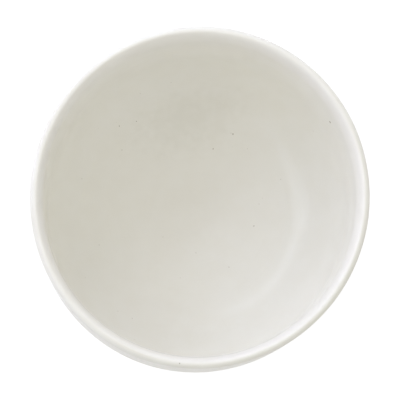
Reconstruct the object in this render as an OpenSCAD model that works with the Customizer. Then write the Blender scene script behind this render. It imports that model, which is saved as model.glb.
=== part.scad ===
// Round soup cup without a handle: a turned clay body under three coats of glaze.
// The origin is on the table under the middle of the cup, with +Z up.
// Outlines are in radius and height, and each piece is its outline turned about the Z axis.

/* [Rim and wall] */
// Outer diameter across the lip
rim_d = 120; // [100:1:150]
// Thickness of the wall, glaze included
wall_t = 4.4; // [3:0.1:6]
// Lean of the wall in degrees, narrower below than at the rim
wall_lean = 0.8; // [0:0.1:6]
// Rounding of the lip's outer edge, up to its crest
lip_edge = 1.7; // [1.2:0.1:2.4]
// Height over which the inner face of the wall curves out to the crest of the lip
lip_fall = 7.5; // [3:0.5:12]

/* [Body] */
// Height from the table to the top of the lip
cup_h = 66; // [56:1:90]
// Radius of the outer curve from the wall in to the foot ring
heel_r = 28; // [20:1:34]
// Thickness of the floor, glaze included
floor_t = 5.5; // [4:0.5:8]
// Radius of the inner curve from the wall to the floor
corner_r = 24; // [14:1:30]

/* [Foot ring] */
// Outer diameter of the foot ring
foot_d = 76; // [60:1:84]
// Width of the foot ring, glaze included
foot_w = 5.4; // [4.5:0.1:8]
// Height of the hollow inside the foot ring
foot_h = 4; // [3:0.5:7]
// Radius of the fillet between the foot ring and the outer curve
foot_fillet = 2; // [0.5:0.25:4]
// Radius of the fillet at the top of the hollow
hollow_fillet = 1.5; // [0.5:0.25:4]
// Rounding of the foot ring's two lower edges
foot_edge = 0.8; // [0.3:0.1:1.2]

/* [Glaze] */
// Thickness of each glaze coat
glaze_t = 0.4; // [0.2:0.05:0.7]
// Clearance between a glaze coat and the clay that it lies on
bond_gap = 0.06; // [0.04:0.01:0.1]
// Height above the table where the glaze ends and the bare clay begins
bare_h = 1.6; // [1.3:0.1:2.5]

/* [Hidden] */
$fn = 180;

// Largest turn between two points of an arc, in degrees
arc_step = 5;

clay_color = [0.83, 0.77, 0.68];
glaze_color = [0.95, 0.94, 0.90];

// Depth of the clay under the glazed surface
clay_depth = glaze_t + bond_gap;

// The lip's curves stay within the wall and wide enough for the coats to follow
lip_r = min(lip_edge, wall_t / 2);
lip_h = min(lip_fall, pow(wall_t - lip_r, 2) / (1.6 * clay_depth));
floor_z = foot_h + floor_t;
foot_outer = foot_d / 2;
foot_inner = foot_outer - foot_w;

// The fillets at the foot ring stay within the glazed height of its sides
glazed_h = foot_h - bare_h;
outer_fillet = min(foot_fillet, glazed_h);
inner_fillet = min(hollow_fillet, glazed_h);

// Middle of the lip's outer rounding, and the direction square to the wall
lip_c = [rim_d / 2 - lip_r, cup_h - lip_r];
wall_normal = [cos(wall_lean), -sin(wall_lean)];

// The lip's inner curve is part of an ellipse that touches the inner face: its reach inwards
lip_touch = wall_t - lip_r + sin(wall_lean) * (lip_h - lip_r);
lip_reach = sqrt(pow(lip_touch, 2) - pow(lip_h * sin(wall_lean), 2)) / cos(wall_lean);

// Point at height z that lies in from the outer face of the wall
function inside_wall(z, depth) =
    [(wall_normal * lip_c + lip_r - depth + sin(wall_lean) * z) / cos(wall_lean), z];

heel_c = inside_wall(foot_h + heel_r, heel_r);
corner_c = inside_wall(floor_z + corner_r, wall_t + corner_r);
hollow_c = [foot_inner - inner_fillet, foot_h - inner_fillet];

// The outer fillet touches the foot ring's side and the outer curve, or the flat inside that curve
fillet_reach = max(0, foot_outer + outer_fillet - heel_c.x);
fillet_turn = asin(fillet_reach / (heel_r + outer_fillet));
fillet_c = [foot_outer + outer_fillet, heel_c.y - (heel_r + outer_fillet) * cos(fillet_turn)];

// Points of an arc about a centre, between two angles
function arc(centre, radius, from, to) =
    let (steps = max(1, ceil(abs(to - from) / arc_step)))
    [
        for (k = [0 : steps])
            let (a = from + (to - from) * k / steps)
            centre + radius * [cos(a), sin(a)]
    ];

// Points of the lip's inner curve, from the crest down to the inner face, at a depth under the surface
function lip_line(depth) =
    let (steps = ceil((90 - wall_lean) / arc_step))
    [
        for (k = [0 : steps])
            let (
                tilt = (90 - wall_lean) * k / steps,
                turn = atan2(lip_reach * sin(tilt), lip_h * cos(tilt))
            )
            [lip_c.x - lip_reach * sin(turn), cup_h - lip_h * (1 - cos(turn))]
                + depth * [sin(tilt), -cos(tilt)]
    ];

function reversed(line) = [for (k = [len(line) - 1 : -1 : 0]) line[k]];

// Outside, from the glaze line on the foot ring up to the crest of the lip, at a depth under the surface
function outside_line(depth) = concat(
    [[foot_outer - depth, bare_h]],
    arc(fillet_c, outer_fillet + depth, 180, 90 + fillet_turn),
    arc(heel_c, heel_r - depth, fillet_turn - 90, -wall_lean),
    arc(lip_c, lip_r - depth, -wall_lean, 90)
);

// Inside, from the crest of the lip down to the middle of the floor
function inside_line(depth) = concat(
    lip_line(depth),
    arc(corner_c, corner_r + depth, -wall_lean, -90),
    [[0, floor_z - depth]]
);

// Underside, from the middle of the hollow out and down to the glaze line on the foot ring
function underside_line(depth) = concat(
    [[0, foot_h + depth]],
    arc(hollow_c, inner_fillet + depth, 90, 0),
    [[foot_inner + depth, bare_h]]
);

// Bare clay of the foot ring, from its inner side round to its outer side
foot_line = concat(
    arc([foot_inner + clay_depth + foot_edge, foot_edge], foot_edge, 180, 270),
    arc([foot_outer - clay_depth - foot_edge, foot_edge], foot_edge, -90, 0)
);

module turned(outline) {
    rotate_extrude()
        polygon(outline);
}

// Coat between a line on the glaze's surface and the same line on its back
module coat(surface, back) {
    color(glaze_color)
        turned(concat(surface, reversed(back)));
}

module clay_body() {
    color(clay_color)
        turned(concat(
            underside_line(clay_depth),
            foot_line,
            outside_line(clay_depth),
            inside_line(clay_depth)
        ));
}

module inside_glaze() {
    coat(inside_line(0), inside_line(glaze_t));
}

module outside_glaze() {
    coat(outside_line(0), outside_line(glaze_t));
}

module underside_glaze() {
    coat(underside_line(0), underside_line(glaze_t));
}

clay_body();
inside_glaze();
outside_glaze();
underside_glaze();
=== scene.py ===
import bisect
import math

import bpy
from mathutils import Matrix, Vector


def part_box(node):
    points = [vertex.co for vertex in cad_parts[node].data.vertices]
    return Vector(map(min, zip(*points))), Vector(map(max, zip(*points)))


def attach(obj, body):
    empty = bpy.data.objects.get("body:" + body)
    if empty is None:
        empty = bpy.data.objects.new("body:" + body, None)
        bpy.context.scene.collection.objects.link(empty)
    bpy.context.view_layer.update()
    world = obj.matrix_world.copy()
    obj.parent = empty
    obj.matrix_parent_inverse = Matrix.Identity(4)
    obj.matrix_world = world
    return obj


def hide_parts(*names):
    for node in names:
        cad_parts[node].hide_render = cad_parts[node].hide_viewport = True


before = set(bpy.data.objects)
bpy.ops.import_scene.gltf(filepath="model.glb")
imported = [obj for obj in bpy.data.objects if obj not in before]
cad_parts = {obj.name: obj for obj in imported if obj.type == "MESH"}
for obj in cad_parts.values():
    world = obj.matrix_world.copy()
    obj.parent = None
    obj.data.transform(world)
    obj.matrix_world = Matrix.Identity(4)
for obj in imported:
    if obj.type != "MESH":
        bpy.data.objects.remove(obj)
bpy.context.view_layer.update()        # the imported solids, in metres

print("frame loaded:", ", ".join(sorted(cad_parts)))

# Form of the cup, in metres: what the boxes of the solids give, then the curves between
insideLow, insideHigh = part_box("inside_glaze")
outsideLow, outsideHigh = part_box("outside_glaze")
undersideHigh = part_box("underside_glaze")[1]

coatDepth = 0.0004                            # thickness of each coat of glaze
bondGap = 0.00006                             # the clay starts just under the back of a coat
clayDepth = coatDepth + bondGap

cup = {
    "rimRadius": outsideHigh.x,
    "height": outsideHigh.z,
    "lipEdge": outsideHigh.x - insideHigh.x,  # rounding outside the crest of the lip
    "lipFall": 0.0075,                        # height of the curve from the inner face to the crest
    "wallThick": 0.0044,
    "floorZ": insideLow.z + coatDepth,
    "glazeEndZ": outsideLow.z,                # bare clay below this
    "hollowZ": undersideHigh.z - coatDepth,
    "footInner": undersideHigh.x - coatDepth,
    "footOuter": 0.038,
    "wallLean": math.radians(0.8),            # narrower below than at the rim
    "heelRadius": 0.028,                      # outer curve from the wall in to the foot ring
    "cornerRadius": 0.024,                    # inner curve from the wall to the floor
    "footFillet": 0.002,
    "hollowFillet": 0.0015,
    "footEdge": 0.0008,
}
quarter = math.pi / 2
lipCentre = (cup["rimRadius"] - cup["lipEdge"], cup["height"] - cup["lipEdge"])


def insideWall(z, depth):
    # point at height z that lies in from the outer face of the wall
    lean = cup["wallLean"]
    across = math.cos(lean) * lipCentre[0] - math.sin(lean) * lipCentre[1]
    return ((across + cup["lipEdge"] - depth + math.sin(lean) * z) / math.cos(lean), z)


lipSink = cup["lipFall"] * math.sin(cup["wallLean"])
lipTouch = cup["wallThick"] - cup["lipEdge"] + lipSink - cup["lipEdge"] * math.sin(cup["wallLean"])
lipReach = math.sqrt(lipTouch ** 2 - lipSink ** 2) / math.cos(cup["wallLean"])
heelCentre = insideWall(cup["hollowZ"] + cup["heelRadius"], cup["heelRadius"])
cornerCentre = insideWall(cup["floorZ"] + cup["cornerRadius"], cup["wallThick"] + cup["cornerRadius"])
hollowCentre = (cup["footInner"] - cup["hollowFillet"], cup["hollowZ"] - cup["hollowFillet"])
filletReach = cup["heelRadius"] + cup["footFillet"]
filletTurn = math.asin((cup["footOuter"] + cup["footFillet"] - heelCentre[0]) / filletReach)
filletCentre = (cup["footOuter"] + cup["footFillet"], heelCentre[1] - filletReach * math.cos(filletTurn))


def arcLine(centre, radius, start, end, spacing):
    # points of an arc in the plane of radius and height
    widestTurn, fewestSteps = 0.09, 3
    steps = max(fewestSteps, math.ceil(abs(end - start) / min(spacing / radius, widestTurn)))
    turns = [start + (end - start) * k / steps for k in range(steps + 1)]
    return [(centre[0] + radius * math.cos(a), centre[1] + radius * math.sin(a)) for a in turns]


def filledLine(points, spacing):
    # the same line without doubled points, and with its straight stretches cut up
    doubled = 1e-7
    filled = [points[0]]
    for point in points[1:]:
        start = filled[-1]
        length = math.dist(start, point)
        steps = math.ceil(length / spacing) if length > doubled else 0
        for k in range(1, steps + 1):
            share = k / steps
            filled.append(tuple(a + (b - a) * share for a, b in zip(start, point)))
    return filled


def lengthsAlong(points):
    # how far each point lies along the line
    lengths = [0.0]
    for a, b in zip(points, points[1:]):
        lengths.append(lengths[-1] + math.dist(a[:2], b[:2]))
    return lengths


def easedLine(points, reach):
    # the same line with its changes of curve spread out, less towards the ends, which stay
    endShare, eachSide = 0.3, 8
    lengths = lengthsAlong(points)

    def pointAt(length):
        k = min(bisect.bisect_right(lengths, length), len(points) - 1)
        share = (length - lengths[k - 1]) / (lengths[k] - lengths[k - 1])
        return [a + (b - a) * share for a, b in zip(points[k - 1], points[k])]

    eased = []
    for length in lengths:
        span = min(reach, endShare * length, endShare * (lengths[-1] - length))
        near = [pointAt(length + span * k / eachSide) for k in range(-eachSide, eachSide + 1)]
        eased.append(tuple(sum(values) / len(near) for values in zip(*near)))
    return eased


def lipLine(depth, steps):
    # from the inner face up the lip's inner curve, part of an ellipse, to the crest
    line = []
    for k in range(steps, -1, -1):
        tilt = (quarter - cup["wallLean"]) * k / steps
        turn = math.atan2(lipReach * math.sin(tilt), cup["lipFall"] * math.cos(tilt))
        line.append((
            lipCentre[0] - lipReach * math.sin(turn) + depth * math.sin(tilt),
            cup["height"] - cup["lipFall"] * (1 - math.cos(turn)) - depth * math.cos(tilt),
        ))
    return line


def insideLine(depth, spacing):
    # from the middle of the floor out and up to the crest of the lip
    lean = cup["wallLean"]
    faceSteps, backSteps = 40, 18
    return filledLine(
        [(0, cup["floorZ"] - depth)]
        + arcLine(cornerCentre, cup["cornerRadius"] + depth, -quarter, -lean, spacing)
        + lipLine(depth, backSteps if depth else faceSteps),
        spacing,
    )


def outsideLine(depth, spacing, endZ):
    # from the crest of the lip down to the glaze line on the foot ring
    lean = cup["wallLean"]
    lipSpacing, filletSpacing = spacing / 4, spacing / 2
    return filledLine(
        arcLine(lipCentre, cup["lipEdge"] - depth, quarter, -lean, lipSpacing)
        + arcLine(heelCentre, cup["heelRadius"] - depth, -lean, filletTurn - quarter, spacing)
        + arcLine(filletCentre, cup["footFillet"] + depth, quarter + filletTurn, math.pi, filletSpacing)
        + [(cup["footOuter"] - depth, endZ)],
        spacing,
    )


def undersideLine(depth, spacing, endZ):
    # from the middle of the hollow out and down to the glaze line inside the foot ring
    filletSpacing = spacing / 2
    return filledLine(
        [(0, cup["hollowZ"] + depth)]
        + arcLine(hollowCentre, cup["hollowFillet"] + depth, quarter, 0, filletSpacing)
        + [(cup["footInner"] + depth, endZ)],
        spacing,
    )


def footLine(spacing):
    # the bare clay, from the outer side of the foot ring round to its inner side
    edge = cup["footEdge"]
    outer = (cup["footOuter"] - clayDepth - edge, edge)
    inner = (cup["footInner"] + clayDepth + edge, edge)
    return filledLine(
        arcLine(outer, edge, 0, -quarter, spacing) + arcLine(inner, edge, -quarter, -math.pi, spacing),
        spacing,
    )


def beadLine(side, outwards):
    # the rounded end of a coat at its glaze line, from the coat's face to its back
    half = coatDepth / 2
    beadSpacing = half / 4
    middle = (side - outwards * half, cup["glazeEndZ"] + half)
    start = 0 if outwards > 0 else -math.pi
    return arcLine(middle, half, start, -math.pi - start, beadSpacing)


def faceAndBack(face, back, fade):
    # outline of a coat: its face counts as skin, apart from a fade at the crest, and its back doesn't
    crest = (lipCentre[0], cup["height"])
    outline = [(r, z, min(1, math.dist((r, z), crest) / fade) ** 2) for r, z in face]
    return outline + [(r, z, 0) for r, z in back]


# Small helpers for building node trees
def addNode(tree, kind, inputs=None, **settings):
    node = tree.nodes.new(kind)
    for name, value in settings.items():
        setattr(node, name, value)
    for name, value in (inputs or {}).items():
        feed(tree, value, node.inputs[name])
    return node


def feed(tree, value, socket):
    # a socket is linked, and anything else becomes the socket's own value
    if isinstance(value, bpy.types.NodeSocket):
        tree.links.new(value, socket)
    else:
        socket.default_value = value


def calc(tree, operation, first, second=0.0):
    node = tree.nodes.new("ShaderNodeMath")
    node.operation = operation
    feed(tree, first, node.inputs[0])
    feed(tree, second, node.inputs[1])
    return node.outputs[0]


def vectorCalc(tree, operation, first, second=(0, 0, 0)):
    node = tree.nodes.new("ShaderNodeVectorMath")
    node.operation = operation
    feed(tree, first, node.inputs[0])
    feed(tree, second, node.inputs["Scale" if operation == "SCALE" else 1])
    return node.outputs["Value" if operation == "LENGTH" else "Vector"]


def smoothStep(tree, value, low, high):
    node = addNode(tree, "ShaderNodeMapRange", interpolation_type="SMOOTHSTEP")
    feed(tree, value, node.inputs["Value"])
    feed(tree, low, node.inputs["From Min"])
    feed(tree, high, node.inputs["From Max"])
    return node.outputs["Result"]


def addSockets(tree, sockets, side="INPUT"):
    # sockets: name, type and starting value or None
    for name, kind, value in sockets:
        socket = tree.interface.new_socket(name=name, in_out=side, socket_type="NodeSocket" + kind)
        if value is not None:
            socket.default_value = value


def namedValue(tree, name):
    # a number stored on the points of the mesh
    named = addNode(tree, "GeometryNodeInputNamedAttribute", {"Name": name}, data_type="FLOAT")
    return named.outputs["Attribute"]


# Shaping on the wheel: a profile in radius and height is turned about Z, goes a little out of round,
# and gets the lines and unevenness that hands leave
def wheelTree():
    tree = bpy.data.node_groups.new("turnedOnWheel", "GeometryNodeTree")
    addSockets(tree, [
        ("Profile", "Geometry", None),
        ("Segments", "Int", 384),
        ("Cup Height", "Float", 0.066),
        ("Out Of Round", "Float", 0.0),        # share of the radius, two lobes
        ("Long Axis", "Float", 0.0),
        ("Three Lobes", "Float", 0.0),         # share of the radius, three lobes
        ("Lobe Axis", "Float", 0.0),
        ("Foot Share", "Float", 0.3),          # how much of that is left at the foot
        ("Ring Depth", "Float", 0.0),
        ("Ring Pitch", "Float", 0.006),
        ("Line Depth", "Float", 0.0),
        ("Line Pitch", "Float", 0.0012),
        ("Ring Drift", "Float", 0.6),          # how fast rings and lines change round the cup
        ("Uneven Depth", "Float", 0.0),
        ("Uneven Size", "Float", 0.009),
        ("Outward Share", "Float", 0.5),       # how much of rings, lines and unevenness stands proud
        ("Glaze End Z", "Float", 0.0),
        ("Glaze End Wave", "Float", 0.0),
        ("Glaze End Fade", "Float", 0.002),
        ("Seed", "Float", 0.0),
        ("Finish", "Material", None),
    ])
    addSockets(tree, [("Piece", "Geometry", None)], "OUTPUT")
    sizes = tree.nodes.new("NodeGroupInput").outputs
    halfPoint = 0.5                            # keeps rounding from changing the turn
    wanderScale = 2.5
    weldDistance = 0.000001
    creaseAngle = math.radians(50)

    # a grid of profile points by turns, laid on the turned surface
    profile = {"Geometry": sizes["Profile"]}
    count = addNode(tree, "GeometryNodeAttributeDomainSize", profile, component="MESH")
    rows = count.outputs["Point Count"]
    grid = addNode(tree, "GeometryNodeMeshGrid", {
        "Vertices X": calc(tree, "ADD", sizes["Segments"], 1),
        "Vertices Y": rows,
    })
    index = tree.nodes.new("GeometryNodeInputIndex").outputs["Index"]
    row = calc(tree, "FLOORED_MODULO", index, rows)
    turn = calc(tree, "FLOOR", calc(tree, "DIVIDE", calc(tree, "ADD", index, halfPoint), rows))

    def atRow(kind, value):
        sample = addNode(tree, "GeometryNodeSampleIndex", data_type=kind, domain="POINT", clamp=True)
        feed(tree, sizes["Profile"], sample.inputs["Geometry"])
        feed(tree, value, sample.inputs["Value"])
        feed(tree, row, sample.inputs["Index"])
        return sample.outputs["Value"]

    place = atRow("FLOAT_VECTOR", tree.nodes.new("GeometryNodeInputPosition").outputs["Position"])
    parts = addNode(tree, "ShaderNodeSeparateXYZ", {"Vector": place}).outputs
    radius, height = parts["X"], parts["Z"]
    angle = calc(tree, "MULTIPLY", calc(tree, "DIVIDE", turn, sizes["Segments"]), -2 * math.pi)

    # out of round: never wider than the true circle
    def lobes(number, share, axis):
        wave = calc(tree, "COSINE", calc(tree, "MULTIPLY", calc(tree, "SUBTRACT", angle, axis), number))
        return calc(tree, "MULTIPLY", share, calc(tree, "SUBTRACT", wave, 1))

    up = calc(tree, "DIVIDE", height, sizes["Cup Height"])
    footShare = sizes["Foot Share"]
    much = calc(tree, "ADD", footShare, calc(tree, "MULTIPLY", up, calc(tree, "SUBTRACT", 1, footShare)))
    two = lobes(2, sizes["Out Of Round"], sizes["Long Axis"])
    three = lobes(3, sizes["Three Lobes"], sizes["Lobe Axis"])
    roundness = calc(tree, "ADD", 1, calc(tree, "MULTIPLY", much, calc(tree, "ADD", two, three)))
    bent = calc(tree, "MULTIPLY", radius, roundness)

    # the glaze line wanders a little up the foot ring
    heading = addNode(tree, "ShaderNodeCombineXYZ", {
        "X": calc(tree, "COSINE", angle),
        "Y": calc(tree, "SINE", angle),
    }).outputs["Vector"]
    wander = addNode(tree, "ShaderNodeTexNoise", {
        "Vector": vectorCalc(tree, "SCALE", heading, wanderScale),
        "W": sizes["Seed"],
        "Scale": 1.0,
        "Detail": 2.0,
    }, noise_dimensions="4D")
    above = calc(tree, "SUBTRACT", height, sizes["Glaze End Z"])
    near = calc(tree, "SUBTRACT", 1, smoothStep(tree, above, 0.0, sizes["Glaze End Fade"]))
    lift = calc(tree, "MULTIPLY", calc(tree, "MULTIPLY", wander.outputs[0], near), sizes["Glaze End Wave"])

    spot = addNode(tree, "ShaderNodeCombineXYZ", {
        "X": calc(tree, "MULTIPLY", bent, calc(tree, "COSINE", angle)),
        "Y": calc(tree, "MULTIPLY", bent, calc(tree, "SINE", angle)),
        "Z": calc(tree, "ADD", height, lift),
    }).outputs["Vector"]
    shell = addNode(tree, "GeometryNodeSetPosition", {
        "Geometry": grid.outputs["Mesh"],
        "Position": spot,
    }).outputs["Geometry"]
    for name in ("skin", "along"):
        shell = addNode(tree, "GeometryNodeStoreNamedAttribute", {
            "Geometry": shell,
            "Name": name,
            "Value": atRow("FLOAT", namedValue(tree, name)),
        }, data_type="FLOAT", domain="POINT").outputs["Geometry"]
    shell = addNode(tree, "GeometryNodeMergeByDistance", {
        "Geometry": shell,
        "Distance": weldDistance,
    }).outputs["Geometry"]

    # rings and lines run round the cup, unevenness lies anywhere
    here = tree.nodes.new("GeometryNodeInputPosition").outputs["Position"]
    flat = vectorCalc(tree, "NORMALIZE", vectorCalc(tree, "MULTIPLY", here, (1, 1, 0)))
    drift = vectorCalc(tree, "SCALE", flat, sizes["Ring Drift"])
    along = namedValue(tree, "along")
    inward = calc(tree, "SUBTRACT", 1, sizes["Outward Share"])

    def ringNoise(pitch, depth, detail):
        level = addNode(tree, "ShaderNodeCombineXYZ", {"Z": calc(tree, "DIVIDE", along, pitch)})
        noise = addNode(tree, "ShaderNodeTexNoise", {
            "Vector": vectorCalc(tree, "ADD", drift, level.outputs["Vector"]),
            "W": sizes["Seed"],
            "Scale": 1.0,
            "Detail": detail,
        }, noise_dimensions="4D")
        return calc(tree, "MULTIPLY", calc(tree, "SUBTRACT", noise.outputs[0], inward), depth)

    uneven = addNode(tree, "ShaderNodeTexNoise", {
        "Vector": here,
        "W": sizes["Seed"],
        "Scale": calc(tree, "DIVIDE", 1, sizes["Uneven Size"]),
        "Detail": 1.0,
    }, noise_dimensions="4D")
    lump = calc(tree, "MULTIPLY", calc(tree, "SUBTRACT", uneven.outputs[0], inward), sizes["Uneven Depth"])
    rings = ringNoise(sizes["Ring Pitch"], sizes["Ring Depth"], detail=1.0)
    lines = ringNoise(sizes["Line Pitch"], sizes["Line Depth"], detail=2.0)
    push = calc(tree, "ADD", lump, calc(tree, "ADD", rings, lines))
    push = calc(tree, "MULTIPLY", push, namedValue(tree, "skin"))
    normal = tree.nodes.new("GeometryNodeInputNormal").outputs["Normal"]
    shell = addNode(tree, "GeometryNodeSetPosition", {
        "Geometry": shell,
        "Offset": vectorCalc(tree, "SCALE", normal, push),
    }).outputs["Geometry"]

    # smooth, with a crease only where a coat ends
    shell = addNode(tree, "GeometryNodeSetShadeSmooth", {
        "Geometry": shell,
    }, domain="FACE").outputs["Geometry"]
    fold = tree.nodes.new("GeometryNodeInputMeshEdgeAngle").outputs["Unsigned Angle"]
    shell = addNode(tree, "GeometryNodeSetShadeSmooth", {
        "Geometry": shell,
        "Selection": calc(tree, "GREATER_THAN", fold, creaseAngle),
        "Shade Smooth": False,
    }, domain="EDGE").outputs["Geometry"]
    shell = addNode(tree, "GeometryNodeRealizeInstances", {"Geometry": shell}).outputs["Geometry"]
    shell = addNode(tree, "GeometryNodeSetMaterial", {
        "Geometry": shell,
        "Material": sizes["Finish"],
    }).outputs["Geometry"]
    tree.links.new(shell, tree.nodes.new("NodeGroupOutput").inputs["Piece"])
    return tree


def grainTree():
    # grains at given places: each is laid on a surface, turned to it and flattened
    tree = bpy.data.node_groups.new("grainsInGlaze", "GeometryNodeTree")
    addSockets(tree, [
        ("Places", "Geometry", None),
        ("Surface", "Object", None),
        ("Flatness", "Float", 0.3),
        ("Seed", "Int", 1),
        ("Finish", "Material", None),
    ])
    addSockets(tree, [("Piece", "Geometry", None)], "OUTPUT")
    sizes = tree.nodes.new("NodeGroupInput").outputs
    surface = addNode(tree, "GeometryNodeObjectInfo", {"Object": sizes["Surface"]}).outputs["Geometry"]
    nearest = addNode(tree, "GeometryNodeProximity", {"Target": surface}, target_element="FACES")
    points = addNode(tree, "GeometryNodeMeshToPoints", {
        "Mesh": sizes["Places"],
        "Position": nearest.outputs["Position"],
    }).outputs["Points"]
    facing = addNode(tree, "GeometryNodeSampleNearestSurface", {"Mesh": surface}, data_type="FLOAT_VECTOR")
    feed(tree, tree.nodes.new("GeometryNodeInputNormal").outputs["Normal"], facing.inputs["Value"])
    upright = addNode(tree, "FunctionNodeAlignRotationToVector", {
        "Vector": facing.outputs["Value"],
    }, axis="Z")
    spin = addNode(tree, "FunctionNodeRandomValue", {"Seed": sizes["Seed"]}, data_type="FLOAT")
    turn = addNode(tree, "ShaderNodeCombineXYZ", {
        "Z": calc(tree, "MULTIPLY", spin.outputs[1], 2 * math.pi),
    })
    twist = addNode(tree, "FunctionNodeEulerToRotation", {"Euler": turn.outputs["Vector"]})
    rotation = addNode(tree, "FunctionNodeRotateRotation", {
        "Rotation": upright.outputs["Rotation"],
        "Rotate By": twist.outputs[0],
    }, rotation_space="LOCAL")
    wide = namedValue(tree, "grain")
    scale = addNode(tree, "ShaderNodeCombineXYZ", {
        "X": calc(tree, "MULTIPLY", wide, namedValue(tree, "stretch")),
        "Y": wide,
        "Z": calc(tree, "MULTIPLY", wide, sizes["Flatness"]),
    })
    grain = addNode(tree, "GeometryNodeMeshIcoSphere", {"Radius": 1.0, "Subdivisions": 3})
    laid = addNode(tree, "GeometryNodeInstanceOnPoints", {
        "Points": points,
        "Instance": grain.outputs["Mesh"],
        "Rotation": rotation.outputs["Rotation"],
        "Scale": scale.outputs["Vector"],
    }).outputs["Instances"]
    laid = addNode(tree, "GeometryNodeRealizeInstances", {"Geometry": laid}).outputs["Geometry"]
    laid = addNode(tree, "GeometryNodeSetShadeSmooth", {
        "Geometry": laid,
    }, domain="FACE").outputs["Geometry"]
    laid = addNode(tree, "GeometryNodeSetMaterial", {
        "Geometry": laid,
        "Material": sizes["Finish"],
    }).outputs["Geometry"]
    tree.links.new(laid, tree.nodes.new("NodeGroupOutput").inputs["Piece"])
    return tree


def growPiece(name, start, tree, settings):
    # the tree grows the piece from a starting mesh, and only a plain mesh is kept
    seedling = bpy.data.objects.new(name + "Start", start)
    bpy.context.scene.collection.objects.link(seedling)
    modifier = seedling.modifiers.new("grown", "NODES")
    modifier.node_group = tree
    sockets = {s.name: s.identifier for s in tree.interface.items_tree if s.in_out == "INPUT"}
    for label, value in settings.items():
        modifier[sockets[label]] = value
    graph = bpy.context.evaluated_depsgraph_get()
    mesh = bpy.data.meshes.new_from_object(seedling.evaluated_get(graph))
    seedling.modifiers.remove(modifier)
    bpy.data.objects.remove(seedling)
    mesh.name = name
    piece = bpy.data.objects.new(name, mesh)
    bpy.context.scene.collection.objects.link(piece)
    print("made", name, len(mesh.vertices), "points")
    return piece


def addValues(mesh, values):
    for name, numbers in values.items():
        mesh.attributes.new(name, "FLOAT", "POINT").data.foreach_set("value", numbers)


def turnPiece(name, outline, finish, settings):
    # the outline becomes a line of points with skin and length along it, and the tree turns it
    line = bpy.data.meshes.new(name + "Profile")
    line.from_pydata([(r, 0, z) for r, z, _ in outline], [(k, k + 1) for k in range(len(outline) - 1)], [])
    addValues(line, {"skin": [s for _, _, s in outline], "along": lengthsAlong(outline)})
    return growPiece(name, line, turned, {**settings, "Finish": finish})


# Finishes: what glaze and clay have in common is a node group
def shaderGroup(name, inputs, outputs):
    group = bpy.data.node_groups.new(name, "ShaderNodeTree")
    addSockets(group, inputs)
    addSockets(group, outputs, "OUTPUT")
    return group, group.nodes.new("NodeGroupInput").outputs, group.nodes.new("NodeGroupOutput").inputs


def cloudGroup():
    # soft blotches where a coat lies thicker or the clay fired hotter
    group, given, made = shaderGroup("kilnClouds", [
        ("Place", "Vector", None),
        ("Size", "Float", 0.008),
        ("Seed", "Float", 0.0),
    ], [("Cloud", "Float", None)])
    noise = addNode(group, "ShaderNodeTexNoise", {
        "Vector": given["Place"],
        "W": given["Seed"],
        "Scale": calc(group, "DIVIDE", 1, given["Size"]),
        "Detail": 3.0,
        "Roughness": 0.5,
    }, noise_dimensions="4D")
    cloudEdge = (0.3, 0.7)
    group.links.new(smoothStep(group, noise.outputs[0], *cloudEdge), made["Cloud"])
    return group


def gritGroup():
    # grains: at most one to a cell, and only in a share of the cells
    group, given, made = shaderGroup("gritGrains", [
        ("Place", "Vector", None),
        ("Cell", "Float", 0.004),
        ("Grain", "Float", 0.0003),
        ("Share", "Float", 0.5),
    ], [("Mask", "Float", None)])
    cells = addNode(group, "ShaderNodeTexVoronoi", {
        "Vector": given["Place"],
        "Scale": calc(group, "DIVIDE", 1, given["Cell"]),
    })
    away = calc(group, "MULTIPLY", cells.outputs["Distance"], given["Cell"])
    coreShare = 0.4
    core = calc(group, "MULTIPLY", given["Grain"], coreShare)
    grain = calc(group, "SUBTRACT", 1, smoothStep(group, away, core, given["Grain"]))
    chance = addNode(group, "ShaderNodeSeparateColor", {"Color": cells.outputs["Color"]}).outputs[0]
    picked = calc(group, "LESS_THAN", chance, given["Share"])
    group.links.new(calc(group, "MULTIPLY", grain, picked), made["Mask"])
    return group


def ringGroup():
    # fine lines that run round the cup, on the wall by height and on the floor by radius
    group, given, made = shaderGroup("wheelLines", [
        ("Place", "Vector", None),
        ("Pitch", "Float", 0.0008),
        ("Drift", "Float", 1.5),
    ], [("Height", "Float", None)])
    flat = vectorCalc(group, "MULTIPLY", given["Place"], (1, 1, 0))
    heading = vectorCalc(group, "SCALE", vectorCalc(group, "NORMALIZE", flat), given["Drift"])
    z = addNode(group, "ShaderNodeSeparateXYZ", {"Vector": given["Place"]}).outputs["Z"]
    level = calc(group, "DIVIDE", calc(group, "ADD", vectorCalc(group, "LENGTH", flat), z), given["Pitch"])
    step = addNode(group, "ShaderNodeCombineXYZ", {"Z": level}).outputs["Vector"]
    noise = addNode(group, "ShaderNodeTexNoise", {
        "Vector": vectorCalc(group, "ADD", heading, step),
        "Scale": 1.0,
        "Detail": 2.0,
    })
    group.links.new(noise.outputs[0], made["Height"])
    return group


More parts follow.
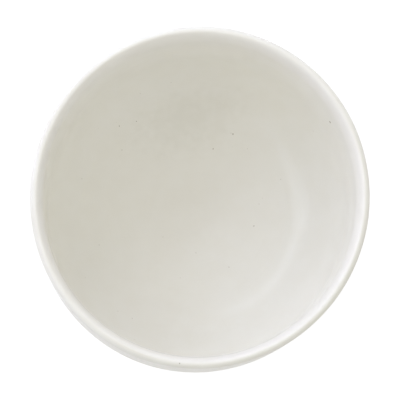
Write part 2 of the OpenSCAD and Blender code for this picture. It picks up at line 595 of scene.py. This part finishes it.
def paintedShadeGroup():
    # one long patch, broken up by noise, of painted shade: a darker colour where a surface lies in shadow
    group, given, made = shaderGroup("paintedShadePlace", [
        ("Place", "Vector", None),
        ("Middle", "Vector", None),
        ("Turn", "Vector", None),
        ("Reach", "Vector", (0.01, 0.01, 0.01)),
        ("Clump", "Float", 0.003),
        ("Broken", "Float", 1.0),
    ], [("Mask", "Float", None)])
    local = addNode(group, "ShaderNodeMapping", {
        "Vector": given["Place"],
        "Location": given["Middle"],
        "Rotation": given["Turn"],
        "Scale": given["Reach"],
    }, vector_type="TEXTURE").outputs["Vector"]
    noise = addNode(group, "ShaderNodeTexNoise", {
        "Vector": given["Place"],
        "Scale": calc(group, "DIVIDE", 1, given["Clump"]),
        "Detail": 3.0,
    })
    noiseMiddle, patchEdge = 0.5, (-0.1, 1.15)
    uneven = calc(group, "SUBTRACT", noise.outputs[0], noiseMiddle)
    ragged = calc(group, "MULTIPLY", uneven, given["Broken"])
    away = calc(group, "ADD", vectorCalc(group, "LENGTH", local), ragged)
    group.links.new(calc(group, "SUBTRACT", 1, smoothStep(group, away, *patchEdge)), made["Mask"])
    return group


def useGroup(tree, group, inputs):
    node = tree.nodes.new("ShaderNodeGroup")
    node.node_tree = group
    for name, value in inputs.items():
        feed(tree, value, node.inputs[name])
    return node.outputs[0]


def blendColour(tree, share, first, second):
    mix = addNode(tree, "ShaderNodeMix", data_type="RGBA")
    colours = [s for s in mix.inputs if s.type == "RGBA"]
    feed(tree, share, mix.inputs[0])
    feed(tree, first, colours[0])
    feed(tree, second, colours[1])
    return [s for s in mix.outputs if s.type == "RGBA"][0]


def ceramicFinish(name, look):
    # colour with clouds, a patch of painted shade where the look asks for one, streaks and grains, a gloss
    # that changes with the clouds, and fine relief
    material = bpy.data.materials.new(name)
    material.use_nodes = True
    material.diffuse_color = (*look["colour"], 1)
    tree = material.node_tree
    shader = tree.nodes["Principled BSDF"]
    place = tree.nodes.new("ShaderNodeTexCoord").outputs["Object"]
    cloud = useGroup(tree, kilnClouds, {"Place": place, "Size": look["cloudSize"], "Seed": look["seed"]})
    grain = useGroup(tree, gritGrains, {
        "Place": place, "Cell": look["grainCell"], "Grain": look["grainSize"], "Share": look["grainShare"],
    })
    lines = useGroup(tree, wheelLines, {
        "Place": place, "Pitch": look["linePitch"], "Drift": look["lineDrift"],
    })

    colour = blendColour(tree, cloud, (*look["colour"], 1), (*look["cloudColour"], 1))
    if "paintedShadeColour" in look:
        # painted shade: a darker patch where the corner of the floor lies in shadow
        paintedShade = useGroup(tree, paintedShadePlace, {
            "Place": place, "Middle": look["paintedShadeMiddle"], "Turn": look["paintedShadeTurn"],
            "Reach": look["paintedShadeReach"], "Clump": look["paintedShadeClump"], "Broken": look["paintedShadeBroken"],
        })
        colour = blendColour(tree, paintedShade, colour, (*look["paintedShadeColour"], 1))
    streakEdge = (0.5, 0.75)
    streak = calc(tree, "MULTIPLY", smoothStep(tree, lines, *streakEdge), look["lineTone"])
    colour = blendColour(tree, streak, colour, (*look["lineColour"], 1))
    dark = calc(tree, "MULTIPLY", grain, look["grainTone"])
    feed(tree, blendColour(tree, dark, colour, (*look["grainColour"], 1)), shader.inputs["Base Color"])

    gloss = addNode(tree, "ShaderNodeMapRange", {
        "Value": cloud, "To Min": look["roughness"][0], "To Max": look["roughness"][1],
    })
    feed(tree, gloss.outputs["Result"], shader.inputs["Roughness"])
    if "glassShare" in look:
        # a share of the reflection is sharp, from the glass on top, and the rest is soft
        shader.inputs["Coat Weight"].default_value = look["glassShare"]
        shader.inputs["Coat Roughness"].default_value = look["glassRoughness"]
        shader.inputs["Specular IOR Level"].default_value *= 1 - look["glassShare"]

    skin = addNode(tree, "ShaderNodeTexNoise", {
        "Vector": place, "Scale": 1 / look["skinSize"], "Detail": 2.0,
    })
    relief = calc(tree, "MULTIPLY", lines, look["lineRelief"])
    for height, depth in ((skin.outputs[0], look["skinRelief"]), (grain, look["grainRelief"])):
        relief = calc(tree, "ADD", relief, calc(tree, "MULTIPLY", height, depth))
    bump = addNode(tree, "ShaderNodeBump", {"Height": relief, "Strength": 1.0, "Distance": 1.0})
    feed(tree, bump.outputs["Normal"], shader.inputs["Normal"])
    return material


kilnClouds, gritGrains, wheelLines, paintedShadePlace = cloudGroup(), gritGroup(), ringGroup(), paintedShadeGroup()

glazeLook = {
    "colour": (0.879, 0.867, 0.834), "cloudColour": (0.868, 0.854, 0.816), "cloudSize": 0.0065, "seed": 2.0,
    "grainColour": (0.30, 0.26, 0.21), "grainTone": 0.5, "grainCell": 0.006, "grainSize": 0.00022,
    "grainShare": 0.35, "grainRelief": -0.00001,
    "roughness": (0.17, 0.2), "linePitch": 0.0009, "lineDrift": 1.2, "lineRelief": 0.0000015,
    "lineColour": (0.76, 0.725, 0.65), "lineTone": 0.04,
    "skinSize": 0.0022, "skinRelief": 0.000006,
}
# The outside: the same ivory glaze, its colour and clouds painted darker as shade on the outer wall and the
# outer side of the lip
shadedOutsideLook = {
    **glazeLook, "colour": (0.862, 0.852, 0.82), "cloudColour": (0.835, 0.822, 0.783), "cloudSize": 0.008,
    "seed": 6.0, "roughness": (0.42, 0.5), "linePitch": 0.0011, "lineRelief": 0.00003, "lineTone": 0.45,
    "grainCell": 0.004, "grainSize": 0.0003, "grainShare": 0.25, "grainTone": 0.75,
}
undersideLook = {**glazeLook, "seed": 9.0, "lineRelief": 0.000004, "cloudSize": 0.006}
clayLook = {
    "colour": (0.66, 0.56, 0.44), "cloudColour": (0.58, 0.47, 0.35), "cloudSize": 0.004, "seed": 4.0,
    "grainColour": (0.33, 0.25, 0.18), "grainTone": 0.7, "grainCell": 0.0011, "grainSize": 0.0002,
    "grainShare": 0.5, "grainRelief": 0.00002,
    "roughness": (0.78, 0.92), "linePitch": 0.0005, "lineDrift": 2.0, "lineRelief": 0.00003,
    "lineColour": (0.52, 0.42, 0.31), "lineTone": 0.4,
    "skinSize": 0.0004, "skinRelief": 0.00004,
}
speckLook = {
    **clayLook, "colour": (0.20, 0.16, 0.12), "cloudColour": (0.26, 0.21, 0.15), "cloudSize": 0.0004,
    "seed": 8.0, "grainCell": 0.0004, "grainSize": 0.0001, "grainRelief": 0.0,
    "roughness": (0.3, 0.45), "lineRelief": 0.0, "lineTone": 0.0,
    "skinSize": 0.0002, "skinRelief": 0.00001,
}
# The inside coat carries painted shade: a darker patch on the corner of the floor on the key light's side,
# where that corner lies in its own shadow
insideLook = {
    **glazeLook, "paintedShadeColour": (0.829, 0.816, 0.773), "paintedShadeMiddle": (-0.003, 0.0355, 0.011),
    "paintedShadeTurn": (0, 0, math.radians(18)), "paintedShadeReach": (0.025, 0.0135, 0.015),
    "paintedShadeClump": 0.003, "paintedShadeBroken": 1.5,
    "roughness": (0.32, 0.36), "glassShare": 0.7, "glassRoughness": 0.165,
}
insideFinish = ceramicFinish("insideIvory", insideLook)
outsideFinish = ceramicFinish("outsideIvoryShaded", shadedOutsideLook)
undersideFinish = ceramicFinish("undersideIvory", undersideLook)
clayFinish = ceramicFinish("bareClay", clayLook)
speckFinish = ceramicFinish("ironSpeck", speckLook)
print("finishes made")

# The four pieces, all bent alike so that the coats stay on the clay
turned = wheelTree()
bending = {
    "Segments": 288,
    "Cup Height": cup["height"],
    "Out Of Round": 0.0093,
    "Long Axis": math.radians(71),
    "Three Lobes": 0.0007,
    "Lobe Axis": math.radians(13),
    "Foot Share": 1.0,
    "Glaze End Z": cup["glazeEndZ"],
}
hiddenSpacing = 0.004
crestFade = 0.002

insideCoat = {"spacing": 0.0007, "easing": 0.005, "wheel": {
    "Ring Depth": 0.000005, "Ring Pitch": 0.008, "Line Depth": 0.000002, "Line Pitch": 0.0016,
    "Uneven Depth": 0.000025, "Uneven Size": 0.012, "Seed": 3.0,
}}
insideGlaze = turnPiece(
    "insideGlaze",
    faceAndBack(
        easedLine(insideLine(0, insideCoat["spacing"]), insideCoat["easing"]),
        insideLine(coatDepth, hiddenSpacing)[::-1],
        crestFade,
    ),
    insideFinish,
    {**bending, **insideCoat["wheel"]},
)

outsideCoat = {"spacing": 0.0004, "wheel": {
    "Ring Depth": 0.0003, "Ring Pitch": 0.007, "Line Depth": 0.0001, "Line Pitch": 0.0018,
    "Uneven Depth": 0.00015, "Uneven Size": 0.012, "Seed": 7.0,
    "Glaze End Wave": 0.0007, "Glaze End Fade": 0.002,
}}
faceEndZ = cup["glazeEndZ"] + coatDepth / 2
outsideGlaze = turnPiece(
    "outsideGlaze",
    faceAndBack(
        outsideLine(0, outsideCoat["spacing"], faceEndZ),
        beadLine(cup["footOuter"], 1)
        + outsideLine(coatDepth, hiddenSpacing, faceEndZ)[::-1]
        + [(lipCentre[0], cup["height"])],
        crestFade,
    ),
    outsideFinish,
    {**bending, **outsideCoat["wheel"]},
)

undersideCoat = {"spacing": 0.0008, "wheel": {
    "Ring Depth": 0.00008, "Ring Pitch": 0.005, "Line Depth": 0.00002, "Line Pitch": 0.0016,
    "Uneven Depth": 0.0001, "Uneven Size": 0.008, "Seed": 11.0,
    "Glaze End Wave": 0.0006, "Glaze End Fade": 0.0018,
}}
undersideFace = undersideLine(0, undersideCoat["spacing"], faceEndZ)[::-1]
undersideBack = undersideLine(coatDepth, hiddenSpacing, faceEndZ)
undersideGlaze = turnPiece(
    "undersideGlaze",
    [(r, z, 0) for r, z in undersideBack + beadLine(cup["footInner"], -1)[::-1]]
    + [(r, z, 1) for r, z in undersideFace],
    undersideFinish,
    {**bending, **undersideCoat["wheel"]},
)

body = {"spacing": 0.0003, "wheel": {
    "Ring Depth": 0.00003, "Ring Pitch": 0.003, "Line Depth": 0.00004, "Line Pitch": 0.0007,
    "Uneven Depth": 0.00005, "Uneven Size": 0.0012, "Outward Share": 0.0, "Seed": 5.0,
}}
clayBody = turnPiece(
    "clayBody",
    [(r, z, 0) for r, z in insideLine(clayDepth, hiddenSpacing)]
    + [(r, z, 0) for r, z in outsideLine(clayDepth, hiddenSpacing, faceEndZ)[1:]]
    + [(r, z, 1) for r, z in footLine(body["spacing"])]
    + [(r, z, 0) for r, z in undersideLine(clayDepth, hiddenSpacing, faceEndZ)[::-1]],
    clayFinish,
    {**bending, **body["wheel"]},
)

# Iron specks that show through the inside coat: place and half width in millimetres, then stretch
specks = {"flatness": 0.3, "seed": 4, "places": [
    (14.2, 30.3, 9.6, 0.19, 1.1), (46.8, 28.8, 48.6, 0.50, 1.0), (-28.2, 32.6, 13.0, 0.17, 1.2),
    (-21.8, 34.6, 11.7, 0.14, 1.1), (6.8, 24.7, 9.5, 0.11, 2.6), (21.9, -4.1, 9.5, 0.15, 1.2),
    (12.6, -19.4, 9.5, 0.12, 1.1), (-9.1, 48.3, 17.9, 0.10, 1.3), (-20.5, 44.2, 17.6, 0.10, 1.2),
    (-11.8, -8.3, 9.5, 0.10, 1.1), (0.4, -14.2, 9.5, 0.09, 1.4), (-35.4, -11.5, 10.4, 0.10, 1.2),
    (23.8, 4.1, 9.5, 0.09, 1.1), (-27.1, 24.0, 10.2, 0.10, 1.5),
]}
perMetre = 1000
speckMesh = bpy.data.meshes.new("speckPlaces")
speckMesh.from_pydata([tuple(v / perMetre for v in s[:3]) for s in specks["places"]], [], [])
addValues(speckMesh, {
    "grain": [s[3] / perMetre for s in specks["places"]],
    "stretch": [s[4] for s in specks["places"]],
})
ironSpecks = growPiece("ironSpecks", speckMesh, grainTree(), {
    "Surface": insideGlaze, "Flatness": specks["flatness"], "Seed": specks["seed"], "Finish": speckFinish,
})
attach(ironSpecks, "root")

for piece, node, slot in (
    (insideGlaze, "inside_glaze", "ivory_glaze"),
    (outsideGlaze, "outside_glaze", "ivory_glaze"),
    (undersideGlaze, "underside_glaze", "ivory_glaze"),
    (clayBody, "clay_body", "bare_clay"),
):
    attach(piece, "root")
    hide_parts(node)
print("pieces stand for their solids")

# Stage: a pale floor, white to the camera where no shadow falls
stage = {"size": 3.0, "drop": 0.0001, "colour": (0.8, 0.8, 0.8), "glow": 0.93, "shade": 0.16}
floorMesh = bpy.data.meshes.new("floor")
half = stage["size"] / 2
corners = ((-half, -half), (half, -half), (half, half), (-half, half))
floorMesh.from_pydata([(x, y, -stage["drop"]) for x, y in corners], [], [(0, 1, 2, 3)])
floor = bpy.data.objects.new("floor", floorMesh)
bpy.context.scene.collection.objects.link(floor)


def seenDirectly(tree):
    # 1 for what the camera sees straight, in a gloss or through glass
    path = tree.nodes.new("ShaderNodeLightPath").outputs
    seen = calc(tree, "MAXIMUM", path["Is Camera Ray"], path["Is Glossy Ray"])
    return calc(tree, "MAXIMUM", seen, path["Is Transmission Ray"])


def paperFloor():
    material = bpy.data.materials.new("paperFloor")
    material.use_nodes = True
    tree = material.node_tree
    tree.nodes.remove(tree.nodes["Principled BSDF"])
    plain = addNode(tree, "ShaderNodeBsdfDiffuse", {"Color": (*stage["colour"], 1)})
    shade = addNode(tree, "ShaderNodeBsdfDiffuse", {"Color": (stage["shade"],) * 3 + (1,)})
    glow = addNode(tree, "ShaderNodeEmission", {"Strength": stage["glow"]})
    white = addNode(tree, "ShaderNodeAddShader")
    tree.links.new(shade.outputs[0], white.inputs[0])
    tree.links.new(glow.outputs[0], white.inputs[1])
    mix = addNode(tree, "ShaderNodeMixShader", {"Fac": seenDirectly(tree)})
    tree.links.new(plain.outputs[0], mix.inputs[1])
    tree.links.new(white.outputs[0], mix.inputs[2])
    tree.links.new(mix.outputs[0], tree.nodes["Material Output"].inputs["Surface"])
    return material


floorMesh.materials.append(paperFloor())

# Light: a warm room with a bright ceiling and a dim horizon, cool softboxes at the upper left of the
# picture and weaker warm ones on its other sides. Where it is seen, the horizon is as white as the floor
room = {
    "ceiling": (0.867, 0.868, 0.825), "ceilingZenith": (42, 10),
    "middle": (0.64, 0.61, 0.53),
    "horizon": (0.30, 0.287, 0.46), "horizonZenith": (60, 84),
}
world = bpy.data.worlds.new("room")
bpy.context.scene.world = world
world.use_nodes = True
sky = world.node_tree
direction = vectorCalc(sky, "NORMALIZE", sky.nodes.new("ShaderNodeTexCoord").outputs["Generated"])
upwards = addNode(sky, "ShaderNodeSeparateXYZ", {"Vector": direction}).outputs["Z"]


def aboveEdge(name):
    # 0 below the soft edge of a band and 1 above it
    edges = sorted(math.cos(math.radians(z)) for z in room[name + "Zenith"])
    return smoothStep(sky, upwards, *edges)


low = calc(sky, "SUBTRACT", 1, aboveEdge("horizon"))
bands = blendColour(sky, aboveEdge("ceiling"), (*room["middle"], 1), (*room["ceiling"], 1))
bands = blendColour(sky, low, bands, (*room["horizon"], 1))
bands = blendColour(sky, calc(sky, "MULTIPLY", low, seenDirectly(sky)), bands, (1, 1, 1, 1))
background = sky.nodes["Background"]
feed(sky, bands, background.inputs["Color"])
background.inputs["Strength"].default_value = 1.0

# place is from the middle of the cup; a box with a turn hangs level, and the others face the cup.
# A mirrored box shows only in the gloss, and the others light the cup without showing in it
softboxes = [
    {"name": "keyBox", "place": (-0.45, 0.72, 0.53), "size": (1.5, 0.5), "watts": 3.9,
     "colour": (0.99, 0.99, 1.0), "mirrored": False},
    {"name": "topBox", "place": (-0.03, 0.85, 0.53), "size": (0.6, 0.5), "watts": 1.72,
     "colour": (0.70, 0.78, 1.0), "mirrored": False},
    {"name": "sideBox", "place": (-0.80, 0.29, 0.53), "size": (0.6, 0.5), "watts": 2.03,
     "colour": (0.52, 0.62, 1.0), "mirrored": False},
    {"name": "leftBox", "place": (-0.81, -0.30, 0.50), "size": (0.6, 0.5), "watts": 0.77,
     "colour": (1.0, 0.95, 0.79), "mirrored": False},
    {"name": "frontBox", "place": (-0.30, -0.81, 0.50), "size": (0.6, 0.5), "watts": 0.72,
     "colour": (0.87, 1.0, 0.87), "mirrored": False},
    {"name": "rightBox", "place": (0.85, -0.15, 0.50), "size": (0.8, 0.5), "watts": 1.0,
     "colour": (0.93, 1.0, 0.77), "mirrored": False},
    {"name": "leftStrip", "place": (-0.88, 0.08, 1.0), "turn": 0, "size": (0.86, 0.5), "watts": 1.95,
     "colour": (0.75, 0.84, 1.0), "mirrored": True},
    {"name": "farStrip", "place": (-0.74, -0.69, 1.0), "turn": 0, "size": (0.42, 1.04), "watts": 0.97,
     "colour": (0.75, 0.84, 1.0), "mirrored": True},
    {"name": "cornerStrip", "place": (-0.451, 0.644, 1.0), "turn": -47, "size": (0.34, 0.74), "watts": 1.46,
     "colour": (0.75, 0.84, 1.0), "mirrored": True},
]
cupMiddle = Vector((0, 0, cup["height"] / 2))
for box in softboxes:
    lamp = bpy.data.lights.new(box["name"], "AREA")
    lamp.shape = "RECTANGLE"
    lamp.size, lamp.size_y = box["size"]
    lamp.energy = box["watts"]
    lamp.color = box["colour"]
    holder = bpy.data.objects.new(box["name"], lamp)
    away = Vector(box["place"])
    holder.location = cupMiddle + away
    if "turn" in box:
        holder.rotation_euler = (0, 0, math.radians(box["turn"]))
    else:
        holder.rotation_mode = "QUATERNION"
        holder.rotation_quaternion = away.to_track_quat("Z", "Y")
    holder.visible_glossy = box["mirrored"]
    holder.visible_diffuse = not box["mirrored"]
    bpy.context.scene.collection.objects.link(holder)
print("stage and light set")

# Camera: almost straight above, leaning towards the lower left edge of the picture
shot = {
    "distance": 0.8, "tilt": 7.43, "towards": -106.5, "sensor": 36.0,
    "image": 400, "focal": 2311.0, "rimPixel": (200.5, 195.6),    # these three in pixels
}
rimMiddle = Vector((0, 0, cup["height"]))
tilt, towards = math.radians(shot["tilt"]), math.radians(shot["towards"])
back = Vector((math.sin(tilt) * math.cos(towards), math.sin(tilt) * math.sin(towards), math.cos(tilt)))
lens = bpy.data.cameras.new("camera")
lens.sensor_width = shot["sensor"]
lens.lens = shot["focal"] / shot["image"] * lens.sensor_width
camera = bpy.data.objects.new("camera", lens)
upright = Vector((0, 1, 0))
side = upright.cross(back).normalized()
over = back.cross(side)
perPixel = shot["distance"] / shot["focal"]
offset = [(pixel - shot["image"] / 2) * perPixel for pixel in shot["rimPixel"]]
aim = rimMiddle - side * offset[0] + over * offset[1]
facing = Matrix((side, over, back)).transposed().to_4x4()
camera.matrix_world = Matrix.Translation(aim + back * shot["distance"]) @ facing
bpy.context.scene.collection.objects.link(camera)
bpy.context.scene.camera = camera
bpy.context.scene.view_settings.view_transform = "Standard"
print("camera set")
